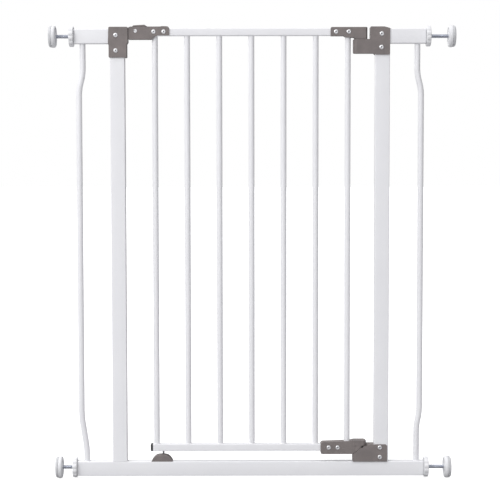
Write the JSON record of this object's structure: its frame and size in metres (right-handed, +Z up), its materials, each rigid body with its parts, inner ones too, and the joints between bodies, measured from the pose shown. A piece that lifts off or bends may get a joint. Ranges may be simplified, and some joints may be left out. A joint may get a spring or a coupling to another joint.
{
  "type": "safety baby gate",
  "caption": "Pressure-mounted metal safety gate: white U-frame held by screw spindles and wall pads, with a barred swing gate on a rising hinge, a thumb-slide latch and a drop lock pin.",
  "frame": {"origin": "the underside of the bottom rail, midway between the two uprights and in the middle of the tubes' depth", "axes": "+X along the rail to the hinge side, +Y to the back, the way the gate opens, +Z up"},
  "size_m": [0.834, 0.0454, 0.9403],
  "materials": {
    "white_coat": "satin powder coat",
    "taupe_plastic": "fine textured",
    "dark_plastic": "matt",
    "dark_steel": "blackened",
    "zinc_steel": "bright zinc",
    "rivet_steel": "bright",
    "white_plastic": "satin moulded",
    "pad_rubber": "matt"
  },
  "bodies": {
    "frame": {"bottom_rail": "white_coat", "left_upright": "white_coat", "right_upright": "white_coat", "left_top_arm": "white_coat", "right_top_arm": "white_coat", "left_side_bar": "white_coat", "right_side_bar": "white_coat", "tube_end_plugs": "white_plastic", "left_keeper_front": "taupe_plastic", "left_keeper_back": "taupe_plastic", "upper_bracket_front": "taupe_plastic", "upper_bracket_back": "taupe_plastic", "lower_bracket_front": "taupe_plastic", "lower_bracket_back": "taupe_plastic", "lower_hinge_pin": "zinc_steel", "lock_pin_keeper": "taupe_plastic", "frame_rivets": "rivet_steel"},
    "hinge_bush": {"upper_hinge_bush": "white_plastic"},
    "cam_insert": {"hinge_cam_insert": "dark_plastic"},
    "gate": {"gate_top_rail": "white_coat", "gate_bottom_rail": "white_coat", "gate_bar_1": "white_coat", "gate_bar_2": "white_coat", "gate_bar_3": "white_coat", "gate_bar_4": "white_coat", "gate_bar_5": "white_coat", "gate_bar_6": "white_coat", "gate_bar_7": "white_coat", "hinge_arm_front": "taupe_plastic", "hinge_arm_back": "taupe_plastic", "upper_hinge_pin": "zinc_steel", "hinge_foot_front": "taupe_plastic", "hinge_foot_back": "taupe_plastic", "latch_cover_front": "taupe_plastic", "latch_cover_back": "taupe_plastic", "latch_screw": "rivet_steel", "gate_rivets": "rivet_steel", "lock_pin": "dark_steel", "rail_end_cap": "dark_plastic", "latch_spring": "zinc_steel"},
    "latch": {"thumb_slide": "taupe_plastic", "latch_bolt": "dark_plastic"},
    "spindle_top_left": {"spindle_top_left": "zinc_steel", "wall_pad_top_left": "white_plastic", "pad_face_top_left": "pad_rubber"},
    "nut_top_left": {"hand_nut_top_left": "white_plastic"},
    "spindle_top_right": {"spindle_top_right": "zinc_steel", "wall_pad_top_right": "white_plastic", "pad_face_top_right": "pad_rubber"},
    "nut_top_right": {"hand_nut_top_right": "white_plastic"},
    "spindle_bottom_left": {"spindle_bottom_left": "zinc_steel", "wall_pad_bottom_left": "white_plastic", "pad_face_bottom_left": "pad_rubber"},
    "nut_bottom_left": {"hand_nut_bottom_left": "white_plastic"},
    "spindle_bottom_right": {"spindle_bottom_right": "zinc_steel", "wall_pad_bottom_right": "white_plastic", "pad_face_bottom_right": "pad_rubber"},
    "nut_bottom_right": {"hand_nut_bottom_right": "white_plastic"}
  },
  "joints": [
    {"name": "gate_swing", "type": "hinge", "parent": "frame", "child": "hinge_bush", "pos_m": [0.2256, 0, 0], "axis": [0, 0, -1], "range_deg": [0, 90]},
    {"name": "cam_rise", "type": "slide", "parent": "hinge_bush", "child": "cam_insert", "axis": [0, 0, 1], "range_m": [0, 0.0176]},
    {"name": "gate_lift", "type": "slide", "parent": "cam_insert", "child": "gate", "axis": [0, 0, 1], "range_m": [0, 0.006]},
    {"name": "latch_slide", "type": "slide", "parent": "gate", "child": "latch", "axis": [1, 0, 0], "range_m": [0, 0.008], "stiffness_N_per_m": 150, "springref_m": -0.01, "deforming": ["latch_spring"]},
    {"name": "spindle_travel_top_left", "type": "slide", "parent": "frame", "child": "spindle_top_left", "axis": [-1, 0, 0], "range_m": [-0.0195, 0.0165]},
    {"name": "nut_turn_top_left", "type": "hinge", "parent": "frame", "child": "nut_top_left", "pos_m": [-0.3664, 0, 0.911], "axis": [1, 0, 0], "range_deg": [-5621, 4757]},
    {"name": "spindle_travel_top_right", "type": "slide", "parent": "frame", "child": "spindle_top_right", "axis": [1, 0, 0], "range_m": [-0.0285, 0.0075]},
    {"name": "nut_turn_top_right", "type": "hinge", "parent": "frame", "child": "nut_top_right", "pos_m": [0.3664, 0, 0.911], "axis": [-1, 0, 0], "range_deg": [-8213, 2165]},
    {"name": "spindle_travel_bottom_left", "type": "slide", "parent": "frame", "child": "spindle_bottom_left", "axis": [-1, 0, 0], "range_m": [-0.0135, 0.0225]},
    {"name": "nut_turn_bottom_left", "type": "hinge", "parent": "frame", "child": "nut_bottom_left", "pos_m": [-0.3664, 0, 0.017], "axis": [1, 0, 0], "range_deg": [-3893, 6485]},
    {"name": "spindle_travel_bottom_right", "type": "slide", "parent": "frame", "child": "spindle_bottom_right", "axis": [1, 0, 0], "range_m": [-0.025, 0.011]},
    {"name": "nut_turn_bottom_right", "type": "hinge", "parent": "frame", "child": "nut_bottom_right", "pos_m": [0.3664, 0, 0.017], "axis": [-1, 0, 0], "range_deg": [-7205, 3173]}
  ],
  "couplings": [
    {"joint": "cam_rise", "follows": "gate_swing", "m_per_rad": 0.0112},
    {"joint": "nut_turn_top_left", "follows": "spindle_travel_top_left", "rad_per_m": 5026.5},
    {"joint": "nut_turn_top_right", "follows": "spindle_travel_top_right", "rad_per_m": 5026.5},
    {"joint": "nut_turn_bottom_left", "follows": "spindle_travel_bottom_left", "rad_per_m": 5026.5},
    {"joint": "nut_turn_bottom_right", "follows": "spindle_travel_bottom_right", "rad_per_m": 5026.5}
  ]
}
